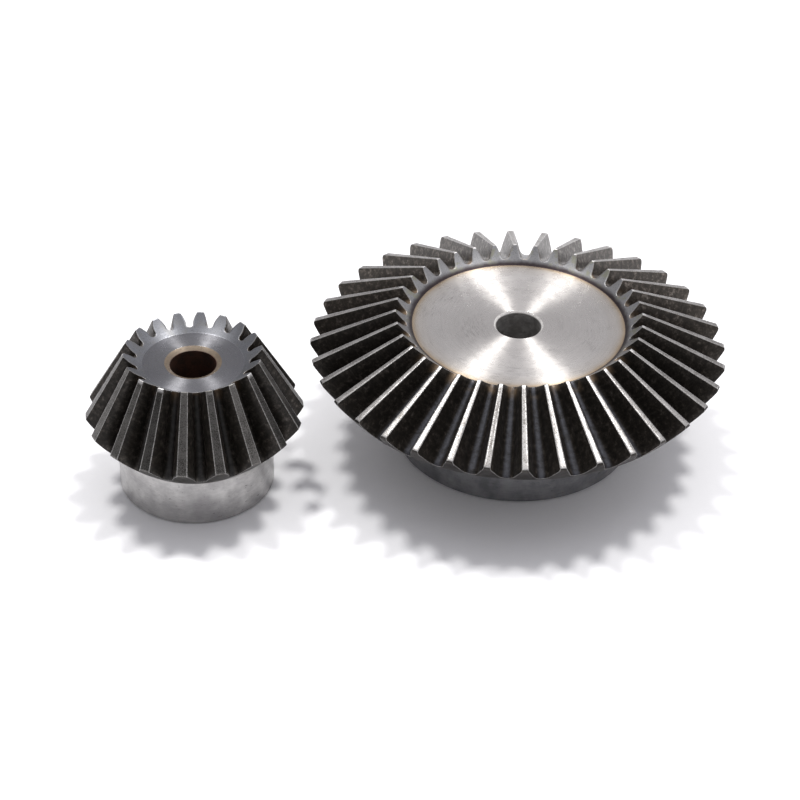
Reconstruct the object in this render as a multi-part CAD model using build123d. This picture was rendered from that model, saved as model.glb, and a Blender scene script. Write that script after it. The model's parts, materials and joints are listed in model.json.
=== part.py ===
from build123d import *
import os
from math import acos, atan, cos, degrees, pi, radians, sin, tan

os.makedirs("parts", exist_ok=True)

# A pair of straight bevel gears for two shafts at a right angle, as two loose pieces.
# Millimetres and degrees. The origin is on the wheel's bore axis, on the plane that both
# hubs stand on; +Z is up, along both bores, and both gears have their small ends up.

# Driving dimensions of the teeth
MODULE = 2.5
WHEEL_TEETH = 36
PINION_TEETH = 18
PRESSURE_ANGLE = radians(20)
FACE_WIDTH = 20.5
ADDENDUM = 1.0 * MODULE
DEDENDUM = 1.25 * MODULE
BACKLASH = 0.05 * MODULE
# The pinion's teeth are made thicker by this much, and the wheel's thinner
THICKNESS_SHIFT = 0.2 * MODULE

# Both gears
BORE_RADIUS = 5.0
BORE_CHAMFER = 0.5
HUB_CHAMFER = 0.5

# Wheel: heights are above the hub's face
WHEEL_APEX_HEIGHT = 44.3
WHEEL_HUB_RADIUS = 27.0
WHEEL_DISC_HEIGHT = 29.0
WHEEL_DISC_RADIUS = 23.7
WHEEL_HEEL_SLOPE = radians(52)
WHEEL_HEEL_LENGTH = 6.6
# The teeth run on past the pitch cone's end by this share of the cone distance
WHEEL_OVERRUN = 0.01
WHEEL_WEB_FILLET = 1.5
WHEEL_TIP_ROUND = 0.7
WHEEL_TOE_ROUND = 0.25
WHEEL_TURN = 4.1

# Pinion
PINION_APEX_HEIGHT = 60.5
PINION_HUB_RADIUS = 17.0
PINION_OUTER_RADIUS = 23.8
PINION_HEEL_SLOPE = radians(46)
PINION_TOE_RADIUS = 14.9
PINION_FACE_RADIUS = 11.0
PINION_FACE_HEIGHT = 31.1
PINION_COUNTERSINK = 1.2
PINION_COUNTERSINK_DEPTH = 0.6
PINION_TIP_ROUND = 0.4
PINION_TOE_ROUND = 0.2
PINION_TURN = 11.2
PINION_PLACE = (-69.2, -24.1)

# The pitch cones, whose shared apex is where the two shaft axes cross
WHEEL_CONE = atan(WHEEL_TEETH / PINION_TEETH)
PINION_CONE = pi / 2 - WHEEL_CONE
CONE_DISTANCE = MODULE * WHEEL_TEETH / 2 / sin(WHEEL_CONE)
TIP_ANGLE = atan(ADDENDUM / CONE_DISTANCE)
TOE_SCALE = 1 - FACE_WIDTH / CONE_DISTANCE

# The tool that cuts a tooth gap runs past both ends of the teeth
CUT_START = 0.45
CUT_END = 1.16
FLANK_STEPS = 7


def involute(angle):
    return tan(angle) - angle


class GapProfile:
    """One tooth gap on the developed back cone, where the gear is like a larger spur gear."""

    def __init__(self, teeth, cone, thickness):
        self.cone = cone
        self.virtual_teeth = teeth / cos(cone)
        self.pitch_radius = MODULE * self.virtual_teeth / 2
        self.base_radius = self.pitch_radius * cos(PRESSURE_ANGLE)
        self.half_tooth = thickness / 2 / self.pitch_radius

    def flank(self, radius):
        """Point of the flank at a radius, as distances across and along the gap's middle."""
        pressure = acos(min(1.0, self.base_radius / radius))
        tooth = self.half_tooth + involute(PRESSURE_ANGLE) - involute(pressure)
        angle = pi / self.virtual_teeth - tooth
        return radius * sin(angle), radius * cos(angle)

    def inscribed(self, radius):
        """Lowest point of the circle that touches both flanks at this radius."""
        across, along = self.flank(radius)
        next_across, next_along = self.flank(radius + 0.001)
        slope = (next_across - across) / (next_along - along)
        circle = across * (1 + slope**2) ** 0.5
        return along + across * slope - circle

    def touch_radius(self):
        """Where the flank runs into the round bottom of the gap."""
        root = self.pitch_radius - DEDENDUM
        low, high = root, self.pitch_radius
        for _ in range(40):
            middle = (low + high) / 2
            if self.inscribed(middle) > root:
                high = middle
            else:
                low = middle
        return high

    def on_plane(self, across, along):
        """Central projection from the apex onto the plane square to the pitch line."""
        radius = (across**2 + along**2) ** 0.5
        turn = atan(across / along) / cos(self.cone)
        rise = radius - self.pitch_radius
        out = radius * cos(self.cone)
        point = Vector(
            out * cos(turn),
            out * sin(turn),
            rise * sin(self.cone) - CONE_DISTANCE * cos(self.cone),
        )
        point = point * (CONE_DISTANCE / point.dot(self.pitch_line()))
        return point.Y, point.dot(Vector(cos(self.cone), 0, sin(self.cone)))

    def pitch_line(self):
        return Vector(sin(self.cone), 0, -cos(self.cone))

    def section(self, scale):
        """The gap's outline at a fraction of the cone distance."""
        low = self.touch_radius()
        high = self.pitch_radius + 1.6 * ADDENDUM
        radii = [low + (high - low) * i / FLANK_STEPS for i in range(FLANK_STEPS + 1)]
        right = [self.on_plane(*self.flank(radius)) for radius in radii]
        right = [(scale * across, scale * up) for across, up in right]
        left = [(-across, up) for across, up in right]
        bottom = self.on_plane(0, self.pitch_radius - DEDENDUM)[1] * scale
        edges = [
            Spline(*right),
            ThreePointArc(right[0], (0, bottom), left[0]),
            Spline(*left),
            Line(left[-1], right[-1]),
        ]
        place = self.pitch_line() * (CONE_DISTANCE * scale)
        plane = Plane(place, x_dir=(0, 1, 0), z_dir=self.pitch_line())
        return plane * make_face(edges)

    def cutter(self, apex_height):
        """The solid of one gap, with its apex on the axis at a height."""
        tool = loft([self.section(CUT_START), self.section(CUT_END)], ruled=True)
        return Pos(0, 0, apex_height) * tool


def cone_point(cone, distance, height):
    """Radius and depth below the apex of a point that stands off a cone at a distance."""
    out = distance * sin(cone) + height * cos(cone)
    down = distance * cos(cone) - height * sin(cone)
    return out, down


def turned_blank(outline, rounds):
    """A solid turned from half its section; rounds maps an outline point to a radius."""
    face = make_face(Polyline(*outline, close=True))
    for corner, radius in rounds:
        near = face.vertices().sort_by_distance(Vector(*corner))[0]
        face = fillet(near, radius)
    return revolve(Plane.XZ * face, Axis.Z)


def cut_teeth(blank, gap, teeth, apex_height, turn):
    """Cuts the gaps, and turns the gear so that one tooth's middle lies at an angle from +X."""
    cutter = gap.cutter(apex_height)
    gaps = [Rot(0, 0, 360 / teeth * (i + 0.5)) * cutter for i in range(teeth)]
    return Rot(0, 0, turn) * (blank - gaps)


def bore_outline(high, countersink, depth):
    """The bore's wall from the top down: a countersink, and a chamfer at the hub's face."""
    return [
        (BORE_RADIUS + countersink, high),
        (BORE_RADIUS, high - depth),
        (BORE_RADIUS, BORE_CHAMFER),
        (BORE_RADIUS + BORE_CHAMFER, 0),
    ]


def wheel_blank():
    out, down = cone_point(WHEEL_CONE, CONE_DISTANCE, ADDENDUM)
    heel_scale = 1 + WHEEL_OVERRUN
    heel_tip = (out * heel_scale, WHEEL_APEX_HEIGHT - down * heel_scale)
    toe_tip = (out * TOE_SCALE, WHEEL_APEX_HEIGHT - down * TOE_SCALE)
    rim_edge = (
        heel_tip[0] - WHEEL_HEEL_LENGTH * cos(WHEEL_HEEL_SLOPE),
        heel_tip[1] - WHEEL_HEEL_LENGTH * sin(WHEEL_HEEL_SLOPE),
    )
    web_corner = (WHEEL_HUB_RADIUS, rim_edge[1])
    outline = [
        *bore_outline(WHEEL_DISC_HEIGHT, BORE_CHAMFER, BORE_CHAMFER),
        (WHEEL_HUB_RADIUS - HUB_CHAMFER, 0),
        (WHEEL_HUB_RADIUS, HUB_CHAMFER),
        web_corner,
        rim_edge,
        heel_tip,
        toe_tip,
        (WHEEL_DISC_RADIUS, WHEEL_DISC_HEIGHT),
    ]
    rounds = [
        (web_corner, WHEEL_WEB_FILLET),
        (heel_tip, WHEEL_TIP_ROUND),
        (toe_tip, WHEEL_TOE_ROUND),
    ]
    return turned_blank(outline, rounds)


def pinion_blank():
    tip_cone = PINION_CONE + TIP_ANGLE
    heel_tip = (PINION_OUTER_RADIUS, PINION_APEX_HEIGHT - PINION_OUTER_RADIUS / tan(tip_cone))
    toe_tip = (PINION_TOE_RADIUS, PINION_APEX_HEIGHT - PINION_TOE_RADIUS / tan(tip_cone))
    heel_depth = (PINION_OUTER_RADIUS - PINION_HUB_RADIUS) * tan(PINION_HEEL_SLOPE)
    outline = [
        *bore_outline(PINION_FACE_HEIGHT, PINION_COUNTERSINK, PINION_COUNTERSINK_DEPTH),
        (PINION_HUB_RADIUS - HUB_CHAMFER, 0),
        (PINION_HUB_RADIUS, HUB_CHAMFER),
        (PINION_HUB_RADIUS, heel_tip[1] - heel_depth),
        heel_tip,
        toe_tip,
        (PINION_FACE_RADIUS, PINION_FACE_HEIGHT),
    ]
    rounds = [(heel_tip, PINION_TIP_ROUND), (toe_tip, PINION_TOE_ROUND)]
    return turned_blank(outline, rounds)


def wheel_gear():
    thickness = MODULE * pi / 2 - THICKNESS_SHIFT - BACKLASH
    gap = GapProfile(WHEEL_TEETH, WHEEL_CONE, thickness)
    return cut_teeth(wheel_blank(), gap, WHEEL_TEETH, WHEEL_APEX_HEIGHT, WHEEL_TURN)


def pinion_gear():
    thickness = MODULE * pi / 2 + THICKNESS_SHIFT
    gap = GapProfile(PINION_TEETH, PINION_CONE, thickness)
    return cut_teeth(pinion_blank(), gap, PINION_TEETH, PINION_APEX_HEIGHT, PINION_TURN)


def write_node(name, solid):
    solid.label = name
    export_step(solid, f"parts/{name}.step")
    size = solid.bounding_box().size
    print(f"{name}: {len(solid.solids())} solid, {size.X:.2f} x {size.Y:.2f} x {size.Z:.2f} mm")


def main():
    write_node("wheel_gear", wheel_gear())
    write_node("pinion_gear", Pos(*PINION_PLACE, 0) * pinion_gear())
    print(f"cone distance {CONE_DISTANCE:.2f} mm, pinion pitch cone {degrees(PINION_CONE):.3f} degrees")


main()
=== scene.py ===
import json
import math

import bpy
import numpy as np
from mathutils import Matrix, Vector


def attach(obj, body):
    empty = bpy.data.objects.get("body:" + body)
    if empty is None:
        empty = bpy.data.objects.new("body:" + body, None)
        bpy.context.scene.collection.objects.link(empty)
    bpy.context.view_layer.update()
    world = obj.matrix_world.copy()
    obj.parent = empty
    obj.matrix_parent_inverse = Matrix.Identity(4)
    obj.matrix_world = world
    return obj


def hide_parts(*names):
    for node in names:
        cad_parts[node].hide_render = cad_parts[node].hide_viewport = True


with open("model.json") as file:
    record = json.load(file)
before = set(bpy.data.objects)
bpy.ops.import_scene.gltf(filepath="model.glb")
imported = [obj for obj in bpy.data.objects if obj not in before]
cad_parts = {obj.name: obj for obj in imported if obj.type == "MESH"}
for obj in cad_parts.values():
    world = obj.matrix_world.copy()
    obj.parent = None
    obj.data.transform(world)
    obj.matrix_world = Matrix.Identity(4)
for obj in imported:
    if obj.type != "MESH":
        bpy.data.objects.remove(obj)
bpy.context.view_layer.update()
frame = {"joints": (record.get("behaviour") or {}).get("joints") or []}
random = np.random.default_rng(36)

# Lengths are in metres; MM turns millimetres into them.
MM = 0.001

# The teeth, as the CAD parts have them
MODULE = 2.5 * MM
PRESSURE_ANGLE = math.radians(20)
FACE_WIDTH = 20.5 * MM
ADDENDUM = 1.0 * MODULE
DEDENDUM = 1.25 * MODULE
BACKLASH = 0.05 * MODULE
THICKNESS_SHIFT = 0.2 * MODULE
WHEEL_TEETH = 36
PINION_TEETH = 18
WHEEL_CONE = math.atan(WHEEL_TEETH / PINION_TEETH)
PINION_CONE = math.pi / 2 - WHEEL_CONE
CONE_DISTANCE = MODULE * WHEEL_TEETH / 2 / math.sin(WHEEL_CONE)
TIP_ANGLE = math.atan(ADDENDUM / CONE_DISTANCE)
TOE_SCALE = 1 - FACE_WIDTH / CONE_DISTANCE

# The turned shapes of both gears, as the CAD parts have them
BORE_RADIUS = 5.0 * MM
BORE_CHAMFER = 0.5 * MM
HUB_CHAMFER = 0.5 * MM
WHEEL_APEX_HEIGHT = 44.3 * MM
WHEEL_HUB_RADIUS = 27.0 * MM
WHEEL_DISC_HEIGHT = 29.0 * MM
WHEEL_DISC_RADIUS = 23.7 * MM
WHEEL_HEEL_SLOPE = math.radians(52)
WHEEL_HEEL_LENGTH = 6.6 * MM
WHEEL_OVERRUN = 0.01
WHEEL_WEB_FILLET = 1.5 * MM
WHEEL_TIP_ROUND = 0.7 * MM
WHEEL_TOE_ROUND = 0.25 * MM
WHEEL_TURN = math.radians(4.1)
PINION_APEX_HEIGHT = 60.5 * MM
PINION_HUB_RADIUS = 17.0 * MM
PINION_OUTER_RADIUS = 23.8 * MM
PINION_HEEL_SLOPE = math.radians(46)
PINION_TOE_RADIUS = 14.9 * MM
PINION_FACE_RADIUS = 11.0 * MM
PINION_FACE_HEIGHT = 31.1 * MM
PINION_COUNTERSINK = 1.2 * MM
PINION_COUNTERSINK_DEPTH = 0.6 * MM
PINION_TIP_ROUND = 0.4 * MM
PINION_TOE_ROUND = 0.2 * MM
PINION_TURN = math.radians(11.2)

# How far worn and brushed edges are broken, and how far in from a tooth's corner that reaches
EDGE_BREAK = 0.11 * MM
LAND_BREAK = 1.2 * EDGE_BREAK
# A quarter round's middle point lies this share of its radius in from each side
QUARTER_ROUND = 0.29

# Wear of the long edges: its usual spread, and how many spots are nicked and how deep
WEAR = 0.012 * MM
NICKED_SHARE = 0.02
NICK_DEPTH = (0.04 * MM, 0.13 * MM)

# Small roundings of the turned corners
CHAMFER_ROUND = 0.08 * MM
CORNER_ROUND = 0.1 * MM
NECK_ROUND = 0.15 * MM
FACE_ROUND = 0.2 * MM

# Above 1, a flank's points lie closer together towards its tip
TIP_CROWDING = 1.7

# Regions of a gear's surface, each with a material of its own
REGIONS = ("face", "bore", "hub", "back", "land", "flank", "toe", "heel")
FACE, BORE, HUB, BACK, LAND, FLANK, TOE, HEEL = range(len(REGIONS))


def arc_corner(before, corner, after, radius, steps=5):
    """Points of the arc that rounds a corner between two neighbours."""
    before, corner, after = np.array(before), np.array(corner), np.array(after)
    back = (before - corner) / np.linalg.norm(before - corner)
    ahead = (after - corner) / np.linalg.norm(after - corner)
    half = math.acos(float(np.clip(back @ ahead, -1, 1))) / 2
    middle = (back + ahead) / np.linalg.norm(back + ahead)
    centre = corner + middle * radius / math.sin(half)
    start = corner + back * radius / math.tan(half) - centre
    end = corner + ahead * radius / math.tan(half) - centre
    sweep = math.pi - 2 * half
    shares = np.linspace(0, 1, steps + 1)
    spokes = [start * math.sin((1 - t) * sweep) + end * math.sin(t * sweep) for t in shares]
    return [centre + spoke / math.sin(sweep) for spoke in spokes]


def rounded(outline):
    """An open outline of (radius, height, corner radius, region) as points, with arcs at its corners."""
    points = []
    regions = []
    for i, (out, height, radius, region) in enumerate(outline):
        if radius and 0 < i < len(outline) - 1:
            arc = arc_corner(outline[i - 1][:2], (out, height), outline[i + 1][:2], radius)
        else:
            arc = [np.array((out, height))]
        points += arc
        regions += [region] * len(arc)
    return np.array(points), regions


def end_surface(outline, apex_height):
    """Distance from the apex to a tooth's end surface, as a function of the angle from the axis."""
    points = rounded(outline)[0][1:]
    down = apex_height - points[:, 1]
    angle = np.arctan2(points[:, 0], down)[::-1]
    distance = np.hypot(points[:, 0], down)[::-1]
    return lambda polar: float(np.interp(polar, angle, distance))


class Tooth:
    """Half a tooth's outline, as (angle from the gear's axis, angle round it) seen from the apex."""

    def __init__(self, teeth, cone, thickness, flank_steps, root_steps):
        self.teeth = teeth
        self.cone = cone
        self.virtual_teeth = teeth / math.cos(cone)
        self.pitch_radius = MODULE * self.virtual_teeth / 2
        self.base_radius = self.pitch_radius * math.cos(PRESSURE_ANGLE)
        self.half_tooth = thickness / 2 / self.pitch_radius
        self.outline = self.make_outline(flank_steps, root_steps)

    def flank(self, radius):
        """Point of a gap's flank on the developed back cone, across and along the gap's middle."""
        pressure = math.acos(min(1.0, self.base_radius / radius))
        tooth = self.half_tooth + math.tan(PRESSURE_ANGLE) - PRESSURE_ANGLE
        tooth -= math.tan(pressure) - pressure
        angle = math.pi / self.virtual_teeth - tooth
        return np.array([radius * math.sin(angle), radius * math.cos(angle)])

    def inscribed(self, radius):
        """The circle that touches both flanks at a radius: where its centre is, and its size."""
        across, along = self.flank(radius)
        rise = self.flank(radius + 0.001 * MM) - self.flank(radius)
        slope = rise[0] / rise[1]
        return along + across * slope, across * math.hypot(1, slope)

    def touch_radius(self):
        """Where the flank runs into the round bottom of the gap."""
        root = self.pitch_radius - DEDENDUM
        low, high = root, self.pitch_radius
        for _ in range(40):
            middle = (low + high) / 2
            centre, size = self.inscribed(middle)
            if centre - size > root:
                high = middle
            else:
                low = middle
        return high

    def angles(self, across, along):
        """A point of the developed back cone, as its angle from the axis and round from a tooth."""
        radius = math.hypot(across, along)
        turn = math.atan2(across, along) / math.cos(self.cone)
        out = radius * math.cos(self.cone)
        down = CONE_DISTANCE * math.cos(self.cone)
        down -= (radius - self.pitch_radius) * math.sin(self.cone)
        return np.array([math.atan2(out, down), math.pi / self.teeth - turn])

    def make_outline(self, flank_steps, root_steps):
        """From the gap's middle, round the root and up the flank, to the edge of the top land."""
        touch = self.touch_radius()
        centre, size = self.inscribed(touch)
        across, along = self.flank(touch)
        end = math.atan2(across, centre - along)
        turns = [end * i / root_steps for i in range(root_steps)]
        points = [self.angles(size * math.sin(a), centre - size * math.cos(a)) for a in turns]
        tip = self.pitch_radius + ADDENDUM
        edge = tip - LAND_BREAK
        for share in 1 - (1 - np.linspace(0, 1, flank_steps + 1)) ** TIP_CROWDING:
            points.append(self.angles(*self.flank(touch + (edge - touch) * share)))
        corner = self.angles(*self.flank(tip))
        middle = CONE_DISTANCE * (1 + TOE_SCALE) / 2
        inward = LAND_BREAK / (middle * math.sin(corner[0]))
        below, beside = points[-1], corner - [0, inward]
        for t in (0.33, 0.67, 1.0):
            points.append((1 - t) ** 2 * below + 2 * t * (1 - t) * corner + t**2 * beside)
        return np.array(points)

    def normals(self):
        """Outward normals of the outline, for moving its two angles by a length at the apex's unit."""
        scale = np.array([1.0, math.sin(self.cone)])
        run = np.gradient(self.outline * scale, axis=0)
        run[0] = run[-1] = (0, -1)
        run /= np.linalg.norm(run, axis=1)[:, None]
        return np.stack([-run[:, 1], run[:, 0]], axis=1) / scale


class GearMesh:
    """A closed mesh of a gear: teeth between two turned end surfaces, and the turned body."""

    def __init__(self, tooth, apex_height, heel, toe, body, columns, stations, turn):
        self.tooth = tooth
        self.apex_height = apex_height
        self.heel = end_surface(heel, apex_height)
        self.toe = end_surface(toe, apex_height)
        self.columns = columns
        self.turn = turn
        self.points = []
        self.marks = []
        self.faces = []
        self.regions = []
        specs = self.ring_specs(stations)
        self.wear = self.worn_edges(len(specs))
        rings = [self.ring(i, *spec) for i, spec in enumerate(specs)]
        for near, far in zip(rings, rings[1:]):
            self.join_rings(near, far)
        toe_root = self.end_face(rings[0], TOE, self.toe, 0.0)
        heel_root = self.end_face(rings[-1], HEEL, self.heel, 1.0)
        self.turned_body(body, heel_root, toe_root)

    def ring_specs(self, stations):
        """(share of the length, set back from the end, inset into the tooth) of each ring."""
        broken = EDGE_BREAK
        between = QUARTER_ROUND * broken
        ends = [(0.0, broken), (between, between), (broken, 0.0)]
        toe_end = [(0.0, *end) for end in ends]
        middle = [(share, broken, 0.0) for share in np.linspace(0, 1, stations)[1:-1]]
        heel_end = [(1.0, *end) for end in ends[::-1]]
        return toe_end + middle + heel_end

    def worn_edges(self, count):
        """How far each tooth's two long edges are worn back at each ring, with a few nicks."""
        shape = (self.tooth.teeth, 2, count)
        wear = np.abs(random.normal(0, WEAR, shape))
        nicked = random.random(shape) < NICKED_SHARE
        return wear + nicked * random.uniform(*NICK_DEPTH, shape)

    def add(self, distance, polar, around, along, edge, number):
        """A point of a tooth, at a distance from the apex, with its marks; returns its index."""
        out = distance * math.sin(polar)
        height = self.apex_height - distance * math.cos(polar)
        angle = around + self.turn + number * 2 * math.pi / self.tooth.teeth
        self.points.append((out * math.cos(angle), out * math.sin(angle), height))
        tip, root = self.tooth.outline[-1][0], self.tooth.outline[0][0]
        depth = min(1.0, max(0.0, (tip - polar) / (tip - root)))
        self.marks.append((along, depth, edge, number))
        return len(self.points) - 1

    def ring(self, index, share, set_back, inset):
        """One line of points round all the teeth; returns their indices."""
        reach = CONE_DISTANCE * (TOE_SCALE + share * (1 - TOE_SCALE))
        normals = self.tooth.normals() / reach
        outline = self.tooth.outline - normals * inset
        half = len(outline)
        worn = np.zeros(half)
        worn[-3:] = (0.6, 1.0, 0.8)
        broken = np.zeros(half)
        broken[-4:] = (0.5, 1.0, 1.0, 0.5)
        at_end = 1.0 if 0 < inset < EDGE_BREAK else 0.5 * (set_back < EDGE_BREAK)
        indices = []
        for number in range(self.tooth.teeth):
            wear = self.wear[number, :, index, None]
            left, right = (outline - normals * (worn * amount)[:, None] for amount in wear)
            land = np.linspace(-left[-1, 1], right[-1, 1], self.columns + 1)[1:-1]
            line = [(*left[k] * (1, -1), broken[k]) for k in range(half)]
            line += [(outline[-1, 0], across, 0.0) for across in land]
            line += [(*right[k], broken[k]) for k in range(half - 1, 0, -1)]
            for polar, across, edge in line:
                start = self.toe(polar) + set_back
                distance = start + share * (self.heel(polar) - set_back - start)
                edge = max(edge, at_end)
                indices.append(self.add(distance, polar, across, share, edge, number))
        return indices

    def join_rings(self, near, far):
        """Quads between two rings of points: the lands and the flanks."""
        half = len(self.tooth.outline)
        width = 2 * half + self.columns - 2
        for i in range(len(near)):
            after = (i + 1) % len(near)
            self.faces.append((near[i], far[i], far[after], near[after]))
            spot = i % width
            on_land = half - 1 <= spot < half - 1 + self.columns
            self.regions.append(LAND if on_land else FLANK)

    def end_face(self, ring, region, surface, share):
        """Fills the teeth's ends with rows of quads; returns the ring of points at the roots."""
        reach = CONE_DISTANCE * (TOE_SCALE + share * (1 - TOE_SCALE))
        outline = self.tooth.outline - self.tooth.normals() * EDGE_BREAK / reach
        half = len(outline)
        width = 2 * half + self.columns - 2
        root = []
        for number in range(self.tooth.teeth):
            first = number * width
            upper = ring[first + half - 1 : first + half + self.columns]
            for k in range(half - 2, -1, -1):
                polar, side = outline[k]
                inner = np.linspace(-side, side, self.columns + 1)[1:-1]
                made = [self.add(surface(polar), polar, a, share, 0.0, number) for a in inner]
                right = ring[(first + width - k) % len(ring)]
                lower = [ring[first + k]] + made + [right]
                self.fill_row(upper, lower, region)
                upper = lower
            root += upper[:-1]
        return root

    def fill_row(self, upper, lower, region):
        """Quads between two rows of points across one tooth's end."""
        for c in range(self.columns):
            quad = (upper[c], lower[c], lower[c + 1], upper[c + 1])
            self.faces.append(quad if region == HEEL else quad[::-1])
            self.regions.append(region)

    def turned_body(self, body, heel_root, toe_root):
        """Rows of quads round the axis, from the heel's root ring round to the toe's."""
        points, regions = rounded(body)
        points, regions = points[1:-1], regions[1:-1]
        count = len(heel_root)
        first = self.turn - math.pi / self.tooth.teeth
        angles = first + np.arange(count) * 2 * math.pi / count
        rows = [heel_root]
        for out, height in points:
            rows.append(range(len(self.points), len(self.points) + count))
            for angle in angles:
                self.points.append((out * math.cos(angle), out * math.sin(angle), height))
                self.marks.append((0.0, 1.0, 0.0, 0))
        rows.append(toe_root)
        regions = [HEEL] + regions[:-1] + [TOE]
        for upper, lower, region in zip(rows, rows[1:], regions):
            for c in range(count):
                after = (c + 1) % count
                self.faces.append((upper[c], lower[c], lower[after], upper[after]))
                self.regions.append(region)

    def to_object(self, name, materials, place):
        mesh = bpy.data.meshes.new(name)
        mesh.from_pydata([tuple(p) for p in self.points], [], self.faces)
        for material in materials:
            mesh.materials.append(material)
        mesh.polygons.foreach_set("material_index", self.regions)
        mesh.polygons.foreach_set("use_smooth", [True] * len(self.faces))
        for i, mark in enumerate(("along", "depth", "edge", "number")):
            layer = mesh.attributes.new(mark, "FLOAT", "POINT")
            layer.data.foreach_set("value", [float(m[i]) for m in self.marks])
        mesh.update()
        piece = bpy.data.objects.new(name, mesh)
        bpy.context.scene.collection.objects.link(piece)
        piece.location = place
        piece.modifiers.new("shading", "WEIGHTED_NORMAL").keep_sharp = True
        return piece


def cone_point(cone, distance, height):
    """Radius and depth below the apex of a point that stands off a cone at a distance."""
    out = distance * math.sin(cone) + height * math.cos(cone)
    down = distance * math.cos(cone) - height * math.sin(cone)
    return out, down


def bore_outline(high, countersink, depth):
    """The bore's wall from the hub's face up: a chamfer, and a countersink at the top."""
    return [
        (BORE_RADIUS + BORE_CHAMFER, 0.0, CHAMFER_ROUND, BORE),
        (BORE_RADIUS, BORE_CHAMFER, CORNER_ROUND, BORE),
        (BORE_RADIUS, high - depth, CORNER_ROUND, BORE),
        (BORE_RADIUS + countersink, high, CHAMFER_ROUND, FACE),
    ]


def wheel_mesh():
    thickness = MODULE * math.pi / 2 - THICKNESS_SHIFT - BACKLASH
    tooth = Tooth(WHEEL_TEETH, WHEEL_CONE, thickness, flank_steps=12, root_steps=6)
    apex = WHEEL_APEX_HEIGHT
    out, down = cone_point(WHEEL_CONE, CONE_DISTANCE, ADDENDUM)
    heel_scale = 1 + WHEEL_OVERRUN
    heel_tip = (out * heel_scale, apex - down * heel_scale)
    toe_tip = (out * TOE_SCALE, apex - down * TOE_SCALE)
    rim = (heel_tip[0] - WHEEL_HEEL_LENGTH * math.cos(WHEEL_HEEL_SLOPE),
           heel_tip[1] - WHEEL_HEEL_LENGTH * math.sin(WHEEL_HEEL_SLOPE))
    disc = (WHEEL_DISC_RADIUS, WHEEL_DISC_HEIGHT)
    heel = [(*toe_tip, 0, HEEL), (*heel_tip, WHEEL_TIP_ROUND, HEEL), (*rim, 0, HEEL)]
    toe = [(*heel_tip, 0, TOE), (*toe_tip, WHEEL_TOE_ROUND, TOE), (*disc, 0, TOE)]
    body = [
        (*heel_tip, 0, HEEL),
        (*rim, NECK_ROUND, BACK),
        (WHEEL_HUB_RADIUS, rim[1], WHEEL_WEB_FILLET, HUB),
        (WHEEL_HUB_RADIUS, HUB_CHAMFER, CORNER_ROUND, HUB),
        (WHEEL_HUB_RADIUS - HUB_CHAMFER, 0.0, CORNER_ROUND, BACK),
        *bore_outline(WHEEL_DISC_HEIGHT, BORE_CHAMFER, BORE_CHAMFER),
        (*disc, FACE_ROUND, TOE),
        (*toe_tip, 0, TOE),
    ]
    return GearMesh(tooth, apex, heel, toe, body, columns=6, stations=24, turn=WHEEL_TURN)


def pinion_mesh():
    thickness = MODULE * math.pi / 2 + THICKNESS_SHIFT
    tooth = Tooth(PINION_TEETH, PINION_CONE, thickness, flank_steps=11, root_steps=7)
    apex = PINION_APEX_HEIGHT
    tip_slope = math.tan(PINION_CONE + TIP_ANGLE)
    heel_tip = (PINION_OUTER_RADIUS, apex - PINION_OUTER_RADIUS / tip_slope)
    toe_tip = (PINION_TOE_RADIUS, apex - PINION_TOE_RADIUS / tip_slope)
    heel_depth = (PINION_OUTER_RADIUS - PINION_HUB_RADIUS) * math.tan(PINION_HEEL_SLOPE)
    neck = (PINION_HUB_RADIUS, heel_tip[1] - heel_depth)
    face = (PINION_FACE_RADIUS, PINION_FACE_HEIGHT)
    heel = [(*toe_tip, 0, HEEL), (*heel_tip, PINION_TIP_ROUND, HEEL), (*neck, 0, HEEL)]
    toe = [(*heel_tip, 0, TOE), (*toe_tip, PINION_TOE_ROUND, TOE), (*face, 0, TOE)]
    body = [
        (*heel_tip, 0, HEEL),
        (*neck, NECK_ROUND, HUB),
        (PINION_HUB_RADIUS, HUB_CHAMFER, CORNER_ROUND, HUB),
        (PINION_HUB_RADIUS - HUB_CHAMFER, 0.0, CORNER_ROUND, BACK),
        *bore_outline(PINION_FACE_HEIGHT, PINION_COUNTERSINK, PINION_COUNTERSINK_DEPTH),
        (*face, FACE_ROUND, TOE),
        (*toe_tip, 0, TOE),
    ]
    return GearMesh(tooth, apex, heel, toe, body, columns=10, stations=28, turn=PINION_TURN)


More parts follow.
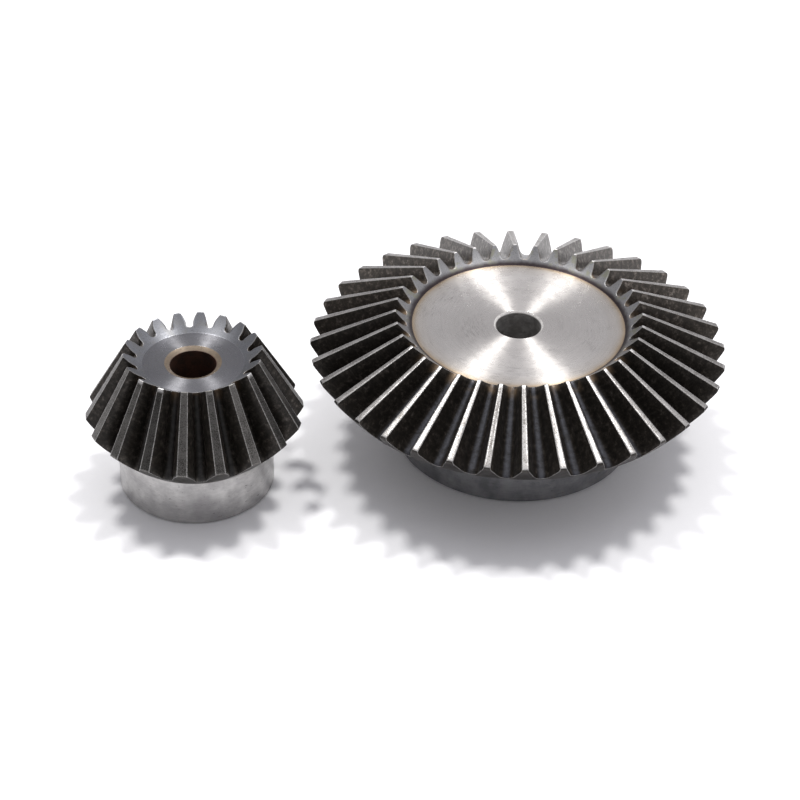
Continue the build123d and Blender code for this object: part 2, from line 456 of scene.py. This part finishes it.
class Shader:
    """A node tree, built call by call. Lengths in it are millimetres."""

    def __init__(self, tree):
        self.tree = tree
        self.tree.nodes.clear()

    def node(self, kind, inputs, output=0, **settings):
        made = self.tree.nodes.new("ShaderNode" + kind)
        for name, value in settings.items():
            setattr(made, name, value)
        for name, value in inputs.items():
            if isinstance(value, bpy.types.NodeSocket):
                self.tree.links.new(value, made.inputs[name])
            else:
                made.inputs[name].default_value = value
        return made.outputs[output] if made.outputs else None

    def maths(self, operation, *values):
        return self.node("Math", dict(enumerate(values)), operation=operation)

    def vector(self, operation, first, second, output="Vector"):
        slot = "Scale" if operation == "SCALE" else 1
        return self.node("VectorMath", {0: first, slot: second}, output, operation=operation)

    def combine(self, x, y, z):
        return self.node("CombineXYZ", {0: x, 1: y, 2: z})

    def noise(self, place, scale, detail=3.0, roughness=0.55, distortion=0.0):
        inputs = {"Vector": place, "Scale": scale, "Detail": detail}
        inputs |= {"Roughness": roughness, "Distortion": distortion}
        return self.node("TexNoise", inputs, "Fac")

    def between(self, value, low, high, to_low=0.0, to_high=1.0):
        inputs = dict(enumerate((value, low, high, to_low, to_high)))
        return self.node("MapRange", inputs, interpolation_type="SMOOTHSTEP")

    def mix(self, share, first, second):
        inputs = {0: share, 6: rgba(first), 7: rgba(second)}
        return self.node("Mix", inputs, 2, data_type="RGBA")

    def ramp(self, value, stops):
        made = self.node("ValToRGB", {0: value}).node
        elements = made.color_ramp.elements
        for place, _ in stops[2:]:
            elements.new(place)
        for element, (place, colour) in zip(elements, stops):
            element.position = place
            element.color = rgba(colour)
        return made.outputs[0]


def rgba(colour):
    if isinstance(colour, bpy.types.NodeSocket):
        return colour
    if isinstance(colour, (int, float)):
        colour = (colour, colour, colour)
    return (*colour, 1.0)


class Steel(Shader):
    """A steel surface of a gear whose axis is its object's Z axis."""

    def __init__(self, name):
        self.material = bpy.data.materials.new(name)
        self.material.use_nodes = True
        super().__init__(self.material.node_tree)
        metres = self.node("TexCoord", {}, "Object")
        self.place = self.vector("SCALE", metres, 1 / MM)
        split = self.node("SeparateXYZ", {0: self.place}).node
        x, y, self.height = split.outputs
        self.radius = self.maths("SQRT", self.maths("ADD", self.maths("MULTIPLY", x, x),
                                                    self.maths("MULTIPLY", y, y)))
        self.east = self.maths("DIVIDE", x, self.radius)
        self.north = self.maths("DIVIDE", y, self.radius)
        self.bumps = None

    def mark(self, name):
        return self.node("Attribute", {}, "Fac", attribute_name=name)

    def round_axis(self, distance, spread):
        """Coordinates for marks that run round the axis: spread sets how fast they change."""
        east = self.maths("MULTIPLY", self.east, spread)
        north = self.maths("MULTIPLY", self.north, spread)
        return self.combine(distance, east, north)

    def bump(self, height, depth):
        """Raises the surface by a height of 0 to 1 times a depth in millimetres."""
        inputs = {"Height": height, "Distance": depth * MM, "Strength": 1.0}
        if self.bumps:
            inputs["Normal"] = self.bumps
        self.bumps = self.node("Bump", inputs)

    def worn_edge(self, grain, least):
        """How bare the broken edges are: patchy with the grain, and nowhere below a least share."""
        patchy = self.between(grain, 0.35, 0.60, least, 1.0)
        return self.maths("MULTIPLY", self.between(self.mark("edge"), 0.45, 0.9), patchy)

    def finish(self, colour, roughness, anisotropic=0.0, metallic=1.0, specular=0.5):
        inputs = {"Base Color": rgba(colour), "Metallic": metallic, "Roughness": roughness}
        inputs["Specular IOR Level"] = specular
        if anisotropic:
            inputs["Anisotropic"] = anisotropic
            inputs["Anisotropic Rotation"] = 0.25
            inputs["Tangent"] = self.node("Tangent", {}, direction_type="RADIAL", axis="Z")
        if self.bumps:
            inputs["Normal"] = self.bumps
        surface = self.node("BsdfPrincipled", inputs)
        self.node("OutputMaterial", {"Surface": surface})
        return self.material


# Colours of marks on the steel, as linear red, green and blue
DARK_SCALE = (0.010, 0.009, 0.008)
CUTTER_MARK = (0.06, 0.053, 0.046)
SCORED = (0.20, 0.19, 0.18)
SCUFFED = (0.22, 0.20, 0.19)
BRUISED = (0.60, 0.59, 0.58)
WORN_FLANK = (0.42, 0.41, 0.40)
WORN_TOE = (0.62, 0.61, 0.60)
SPECKED = (0.16, 0.14, 0.13)
NICKED = (0.09, 0.085, 0.08)


def turned_face(name, colour, drift, edge, heat):
    """A faced end: fine rings, and a heat tint that darkens towards its outer edge."""
    steel = Steel(name)
    wide = steel.noise(steel.place, 0.12, 3.0)
    rings = steel.noise(steel.round_axis(steel.radius, 1.5), 3.0, 5.0, 0.7)
    fine = steel.noise(steel.round_axis(steel.radius, 0.8), 9.0, 2.0)
    steel.bump(rings, 0.004)
    steel.bump(fine, 0.002)
    wander = steel.maths("MULTIPLY_ADD", wide, 2.0 * drift, -drift)
    reach = steel.maths("ADD", steel.radius, wander)
    tint = steel.ramp(steel.maths("MULTIPLY_ADD", reach, 0.2, 1 - 0.2 * edge), heat)
    shade = steel.between(rings, 0.3, 0.7, 0.93, 1.03)
    base = steel.mix(steel.between(wide, 0.3, 0.7), colour, [c * 0.93 for c in colour])
    base = steel.vector("MULTIPLY", base, tint)
    base = steel.vector("SCALE", base, shade)
    scored = steel.maths("MULTIPLY", steel.between(fine, 0.52, 0.66),
                         steel.between(steel.noise(steel.place, 0.14, 2.0), 0.50, 0.62))
    base = steel.mix(steel.maths("MULTIPLY", scored, 0.45), base, SCORED)
    scuffs = steel.noise(steel.vector("MULTIPLY", steel.place, (0.5, 1.4, 1.0)), 1.1, 4.0, 0.7)
    base = steel.mix(steel.between(scuffs, 0.71, 0.77), base, SCUFFED)
    roughness = steel.between(steel.noise(steel.place, 0.5), 0.3, 0.7, 0.255, 0.30)
    return steel.finish(base, roughness, anisotropic=0.93)


def land_steel(name, colour, dark, worn_colour, uneven):
    """Tooth tips: turned before the teeth were cut, speckled with what is left of the scale."""
    steel = Steel(name)
    along = steel.mark("along")
    edge = steel.mark("edge")
    lines = steel.noise(steel.round_axis(steel.radius, 6.0), 5.0, 3.0, 0.6)
    steel.bump(lines, 0.004)
    speckle = steel.noise(steel.place, 4.5, 3.0, 0.7)
    patches = steel.noise(steel.place, 0.35, 2.0)
    scale = steel.maths("ADD", speckle, steel.maths("MULTIPLY", patches, 0.35))
    base = steel.mix(steel.between(scale, 0.60, 0.80), colour, dark)
    own = steel.node("TexWhiteNoise", {"W": steel.mark("number")}, "Value", noise_dimensions="1D")
    base = steel.vector("SCALE", base, steel.maths("MULTIPLY_ADD", own, uneven, 1 - uneven / 2))
    ends = steel.maths("MAXIMUM", steel.between(along, 0.05, 0.0), steel.between(edge, 0.1, 0.6))
    worn = steel.maths("MULTIPLY", ends, steel.between(speckle, 0.40, 0.60, 1.0, 0.35))
    base = steel.mix(worn, base, worn_colour)
    bruised = steel.maths("MULTIPLY", steel.between(along, 0.045, 0.0),
                          steel.between(patches, 0.42, 0.55))
    base = steel.mix(bruised, base, BRUISED)
    roughness = steel.between(speckle, 0.35, 0.7, 0.33, 0.48)
    return steel.finish(base, roughness, anisotropic=0.6)


def flank_scale(name, rust, root_highlight_colour, far_side_painted_gain):
    """Tooth flanks: dark hardening scale, with worn edges, a painted highlight along the roots tinted
    blue, browned ends, and painted light that makes the far side's flanks lighter.
    """
    steel = Steel(name)
    along = steel.mark("along")
    depth = steel.mark("depth")
    number = steel.mark("number")
    cut = steel.combine(steel.maths("MULTIPLY", along, 20.0), depth,
                        steel.maths("MULTIPLY", number, 3.7))
    marks = steel.noise(cut, 1.6, 4.0, 0.65, 0.4)
    mottle = steel.noise(steel.place, 0.9, 6.0, 0.72)
    grain = steel.noise(steel.place, 5.0, 3.0, 0.7)
    steel.bump(mottle, 0.03)
    steel.bump(grain, 0.012)
    steel.bump(marks, 0.02)
    base = steel.ramp(mottle, [
        (0.30, DARK_SCALE),
        (0.52, (0.022, 0.019, 0.016)),
        (0.62, (0.050, 0.043, 0.037)),
        (0.74, (0.12, 0.11, 0.10)),
    ])
    # Painted light: flanks on the gear's far side (towards +Y in its own frame) are made up to several
    # times lighter, standing in for the light they catch there; this turns with the gear
    far_side_painted_light = steel.between(steel.north, -0.35, 0.55, 1.0, far_side_painted_gain)
    base = steel.vector("SCALE", base, far_side_painted_light)
    base = steel.mix(steel.between(marks, 0.5, 0.75, 0.0, 0.5), base, CUTTER_MARK)
    # Painted highlight: a lighter strip, tinted blue on the wheel, along the round bottom of each gap,
    # where the rounded root catches the light
    root = steel.between(depth, 0.93, 1.0)
    painted_root_highlight = steel.maths("MULTIPLY", root, steel.between(mottle, 0.3, 0.6, 0.1, 0.8))
    base = steel.mix(painted_root_highlight, base, root_highlight_colour)
    near_toe = steel.between(along, 0.16, 0.0)
    low = steel.between(depth, 0.45, 0.95)
    rusty = steel.maths("MULTIPLY", steel.maths("MULTIPLY", near_toe, low),
                        steel.between(steel.noise(steel.place, 0.25), 0.40, 0.62))
    base = steel.mix(rusty, base, rust)
    base = steel.mix(steel.worn_edge(grain, 0.25), base, WORN_FLANK)
    roughness = steel.between(mottle, 0.3, 0.7, 0.42, 0.28)
    return steel.finish(base, roughness, metallic=0.35, specular=0.2)


def toe_steel(name, colour, inner, burnt, gold):
    """Small ends of the teeth: turned, burnt near the face and straw-coloured in patches."""
    steel = Steel(name)
    lines = steel.noise(steel.round_axis(steel.radius, 5.0), 4.0, 3.0)
    grain = steel.noise(steel.place, 4.0, 4.0, 0.7)
    steel.bump(lines, 0.006)
    steel.bump(grain, 0.006)
    patches = steel.noise(steel.place, 0.45, 2.0)
    base = steel.mix(steel.between(grain, 0.45, 0.75), colour, [c * 0.45 for c in colour])
    base = steel.mix(steel.between(patches, 0.50, 0.64, 0.0, 0.6), base, gold)
    rise = steel.maths("MULTIPLY_ADD", patches, 0.8, steel.radius)
    base = steel.mix(steel.between(rise, inner + 1.5, inner + 0.4), base, burnt)
    base = steel.mix(steel.worn_edge(grain, 0.3), base, WORN_TOE)
    roughness = steel.between(grain, 0.3, 0.7, 0.27, 0.40)
    return steel.finish(base, roughness, anisotropic=0.8)


def turned_side(name, colour, smudge, roughness, distance="height"):
    """A turned outside: lines round the axis, cloudy smudges and a few rubbed marks."""
    steel = Steel(name)
    along = steel.height if distance == "height" else steel.radius
    lines = steel.noise(steel.round_axis(along, 3.0), 3.0, 5.0, 0.75)
    steel.bump(lines, 0.008)
    clouds = steel.noise(steel.place, 0.16, 4.0, 0.6)
    rubs = steel.noise(steel.round_axis(along, 16.0), 0.8, 4.0, 0.7)
    grain = steel.noise(steel.place, 3.0, 3.0, 0.7)
    base = steel.mix(steel.between(clouds, 0.33, 0.69), colour, smudge)
    base = steel.mix(steel.between(rubs, 0.60, 0.75, 0.0, 0.6), base, smudge)
    base = steel.vector("SCALE", base, steel.between(lines, 0.3, 0.7, 0.88, 1.06))
    base = steel.mix(steel.between(grain, 0.60, 0.75, 0.0, 0.35), base, SPECKED)
    nicks = steel.noise(steel.round_axis(steel.maths("MULTIPLY", along, 2.2), 14.0), 1.3, 3.0, 0.6)
    base = steel.mix(steel.between(nicks, 0.66, 0.70, 0.0, 0.7), base, NICKED)
    rough = steel.between(clouds, 0.3, 0.7, roughness, roughness + 0.10)
    return steel.finish(base, rough, anisotropic=0.5)


def bore_wall(name, colour, stain, chamfer):
    """A reamed bore, with a stain in patches and chamfers of another colour."""
    steel = Steel(name)
    lines = steel.noise(steel.round_axis(steel.height, 2.0), 2.5, 4.0, 0.7)
    steel.bump(lines, 0.01)
    patches = steel.noise(steel.place, 0.5, 4.0, 0.6)
    base = steel.mix(steel.between(patches, 0.42, 0.62), colour, stain)
    grain = steel.noise(steel.place, 5.0, 3.0, 0.7)
    flecked = steel.mix(steel.between(grain, 0.55, 0.7), chamfer, [c * 0.4 for c in chamfer])
    base = steel.mix(steel.between(steel.radius, 5.06, 5.16), base, flecked)
    base = steel.vector("SCALE", base, steel.between(lines, 0.3, 0.7, 0.8, 1.1))
    return steel.finish(base, steel.between(patches, 0.3, 0.7, 0.35, 0.5), metallic=0.45)


def wheel_materials():
    heat = [
        (0.10, (1.0, 1.0, 1.0)),
        (0.62, (0.97, 0.95, 0.92)),
        (0.78, (0.92, 0.86, 0.78)),
        (0.92, (0.84, 0.70, 0.52)),
        (1.00, (0.50, 0.38, 0.28)),
    ]
    return [
        turned_face("wheel_face", (0.58, 0.557, 0.533), 0.55, 23.8, heat),
        bore_wall("wheel_bore", (0.38, 0.37, 0.36), (0.26, 0.25, 0.24), (0.75, 0.73, 0.70)),
        turned_side("wheel_hub", (0.33, 0.33, 0.34), (0.19, 0.19, 0.20), 0.32),
        turned_side("wheel_back", (0.40, 0.39, 0.38), (0.27, 0.26, 0.25), 0.36, "radius"),
        land_steel("wheel_land", (0.37, 0.36, 0.35), (0.14, 0.13, 0.12), (0.46, 0.45, 0.44), 0.2),
        # Flank colours: rust, then the painted root highlight's colour, then how many times lighter the
        # far side's flanks are painted
        flank_scale("wheel_flank", (0.20, 0.145, 0.095), (0.055, 0.058, 0.070), 3.2),
        toe_steel("wheel_toe", (0.32, 0.32, 0.325), 23.9, (0.050, 0.040, 0.042), (0.26, 0.26, 0.18)),
        turned_side("wheel_heel", (0.070, 0.065, 0.062), (0.035, 0.032, 0.030), 0.40, "radius"),
    ]


def pinion_materials():
    heat = [(0.0, (1.0, 1.0, 1.0)), (1.0, (0.92, 0.92, 0.94))]
    return [
        turned_face("pinion_face", (0.20, 0.20, 0.21), 0.4, 12.0, heat),
        bore_wall("pinion_bore", (0.07, 0.045, 0.035), (0.10, 0.05, 0.035), (0.15, 0.115, 0.08)),
        turned_side("pinion_hub", (0.54, 0.53, 0.52), (0.36, 0.35, 0.35), 0.28),
        turned_side("pinion_back", (0.40, 0.39, 0.38), (0.27, 0.26, 0.25), 0.36, "radius"),
        land_steel("pinion_land", (0.13, 0.125, 0.118), (0.05, 0.047, 0.044), (0.18, 0.175, 0.165), 0.8),
        # Flank colours: rust, then the painted root highlight's colour in grey, then how many times
        # lighter the far side's flanks are painted
        flank_scale("pinion_flank", (0.08, 0.055, 0.035), (0.03, 0.03, 0.03), 1.6),
        toe_steel("pinion_toe", (0.22, 0.225, 0.24), 9.0, (0.18, 0.19, 0.21), (0.20, 0.20, 0.20)),
        turned_side("pinion_heel", (0.10, 0.095, 0.09), (0.06, 0.055, 0.05), 0.38, "radius"),
    ]


def place_gear(name, mesh, materials, body, place):
    """Puts a finished gear in its CAD node's stead, riding on a body."""
    piece = mesh.to_object(name, materials, place)
    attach(piece, body)
    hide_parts(name + "_gear")


# The floor, and the two soft lights above it
FLOOR_HALF_WIDTH = 3.0
FLOOR_GAP = 0.02 * MM
SUN_IRRADIANCE = 1.5
SUN_COLOUR = (1.0, 0.99, 0.98)

# The camera's lens, its place in metres, and its three turns in degrees
LENS = 115.58
SENSOR_WIDTH = 36.0
CAMERA_PLACE = (0.00236, -0.46868, 0.35317)
CAMERA_YAW = -3.457
CAMERA_DOWN = 36.455
CAMERA_ROLL = 1.205


def make_floor():
    """A large white sheet just under the hubs."""
    mesh = bpy.data.meshes.new("floor")
    half = FLOOR_HALF_WIDTH
    corners = [(-half, -half, 0), (half, -half, 0), (half, half, 0), (-half, half, 0)]
    mesh.from_pydata(corners, [], [(0, 1, 2, 3)])
    floor = bpy.data.objects.new("floor", mesh)
    floor.location.z = -FLOOR_GAP
    bpy.context.scene.collection.objects.link(floor)
    material = bpy.data.materials.new("floor")
    material.use_nodes = True
    paper = Shader(material.node_tree)
    metres = paper.node("TexCoord", {}, "Object")
    fibre = paper.noise(metres, 900.0, 2.0)
    tone = paper.mix(fibre, (0.90, 0.90, 0.91), (0.92, 0.92, 0.93))
    surface = paper.node("BsdfPrincipled", {"Base Color": tone, "Roughness": 0.9})
    paper.node("OutputMaterial", {"Surface": surface})
    mesh.materials.append(material)


def make_sun(name, toward, width):
    """A soft light in a direction, that looks as wide as an angle in degrees."""
    lamp = bpy.data.lights.new(name, "SUN")
    lamp.energy = SUN_IRRADIANCE
    lamp.angle = math.radians(width)
    lamp.color = SUN_COLOUR
    sun = bpy.data.objects.new(name, lamp)
    sun.rotation_euler = Vector(toward).to_track_quat("Z", "Y").to_euler()
    bpy.context.scene.collection.objects.link(sun)


def make_surroundings():
    """A white light tent: brightest overhead, brighter at the back and right than in front."""
    world = bpy.data.worlds.new("tent")
    world.use_nodes = True
    tent = Shader(world.node_tree)
    direction = tent.node("TexCoord", {}, "Generated")
    x, y, z = tent.node("SeparateXYZ", {0: direction}).node.outputs
    back = tent.between(y, -0.7, 0.8, 0.30, 0.70)
    top = tent.between(z, 0.60, 0.97, 1.0, 2.3)
    side = tent.between(x, -0.6, 0.9, 0.85, 1.25)
    strength = tent.maths("MULTIPLY", tent.maths("MULTIPLY", back, top), side)
    shade = tent.node("Background", {"Color": (0.965, 0.955, 1.0, 1.0), "Strength": strength})
    tent.node("OutputWorld", {"Surface": shade})
    bpy.context.scene.world = world


def make_camera():
    """A long lens, looking down at the pair from in front."""
    data = bpy.data.cameras.new("camera")
    data.lens = LENS
    data.sensor_width = SENSOR_WIDTH
    data.clip_start = 0.05
    data.clip_end = 20.0
    camera = bpy.data.objects.new("camera", data)
    yaw, down, roll = map(math.radians, (CAMERA_YAW, CAMERA_DOWN, CAMERA_ROLL))
    level = Vector((math.cos(yaw), -math.sin(yaw), 0.0))
    ahead = Vector((math.sin(yaw) * math.cos(down), math.cos(yaw) * math.cos(down),
                    -math.sin(down)))
    above = level.cross(ahead)
    right = math.cos(roll) * level + math.sin(roll) * above
    up = math.cos(roll) * above - math.sin(roll) * level
    turn = Matrix((right, up, -ahead)).transposed()
    camera.matrix_world = Matrix.Translation(CAMERA_PLACE) @ turn.to_4x4()
    bpy.context.scene.collection.objects.link(camera)
    bpy.context.scene.camera = camera


def joint_place(name):
    """Where a vertical joint's axis meets the floor's height."""
    joint = next(j for j in frame["joints"] if j["name"] == name)
    return Vector((joint["pos_m"][0], joint["pos_m"][1], 0.0))


place_gear("wheel", wheel_mesh(), wheel_materials(), "wheel", (0, 0, 0))
place_gear("pinion", pinion_mesh(), pinion_materials(), "pinion",
           joint_place("pinion_spin"))
make_floor()
make_sun("right_softbox", (0.225, 0.31, 0.925), 8.0)
make_sun("left_softbox", (-0.265, 0.31, 0.913), 9.0)
make_surroundings()
make_camera()
bpy.context.scene.view_settings.view_transform = "Standard"
